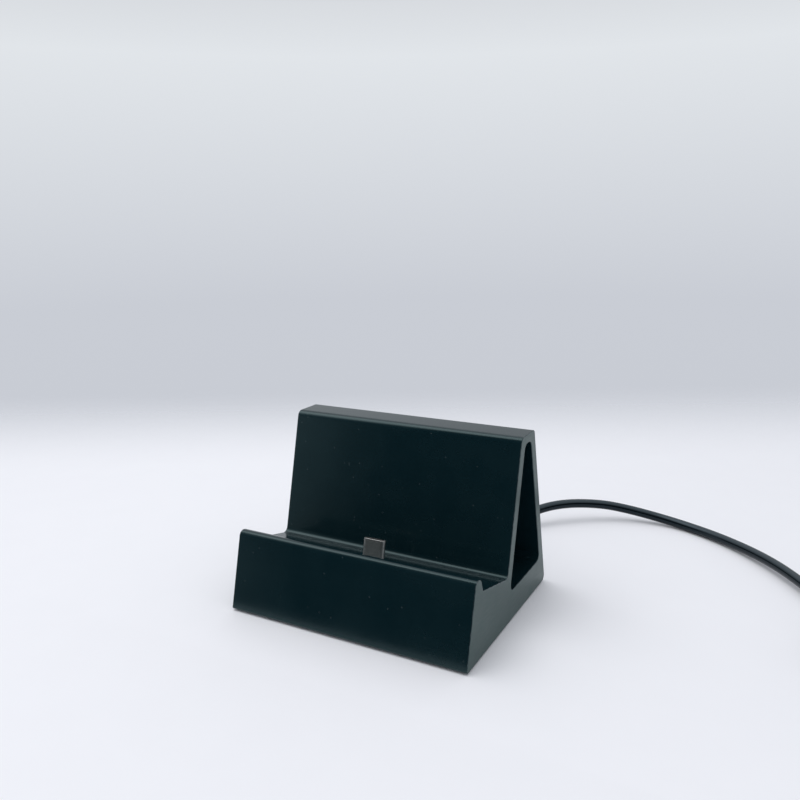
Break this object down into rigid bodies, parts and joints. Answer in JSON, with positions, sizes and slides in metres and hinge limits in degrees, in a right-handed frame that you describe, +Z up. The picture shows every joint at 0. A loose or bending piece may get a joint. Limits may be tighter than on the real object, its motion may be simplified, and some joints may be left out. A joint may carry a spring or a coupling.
{
  "type": "handheld console dock",
  "caption": "Desk dock that leans a handheld console back in a lipped tray against an open A-frame, with a charging plug in the tray and a lead at the rear.",
  "frame": {"origin": "on the table, under the middle of the dock", "axes": "+X along the dock to the viewer's right, +Y to the rear, +Z up"},
  "size_m": [0.2527, 0.1529, 0.0639],
  "materials": {
    "body": "black anodised, satin",
    "foot": "matte",
    "plug_shell": "bright nickel",
    "plug_insert": "matte",
    "contact": "gold plated",
    "plug_moulding": "satin",
    "cord": "satin",
    "tie": "woven"
  },
  "bodies": {
    "root": {"dock_body": "body", "foot_front_left": "foot", "foot_front_right": "foot", "foot_rear_left": "foot", "foot_rear_right": "foot", "charge_plug_shell": "plug_shell", "charge_plug_insert": "plug_insert", "charge_plug_contacts": "contact", "charge_plug_body": "plug_moulding", "lead_in_base": "cord", "cord_boot": "plug_moulding", "cord": "cord", "cord_coil": "cord", "cord_tail": "cord", "cord_tie": "tie", "supply_plug_grip": "plug_moulding", "supply_plug_shell": "plug_shell", "supply_plug_insert": "plug_insert", "supply_plug_contacts": "contact"}
  },
  "joints": []
}
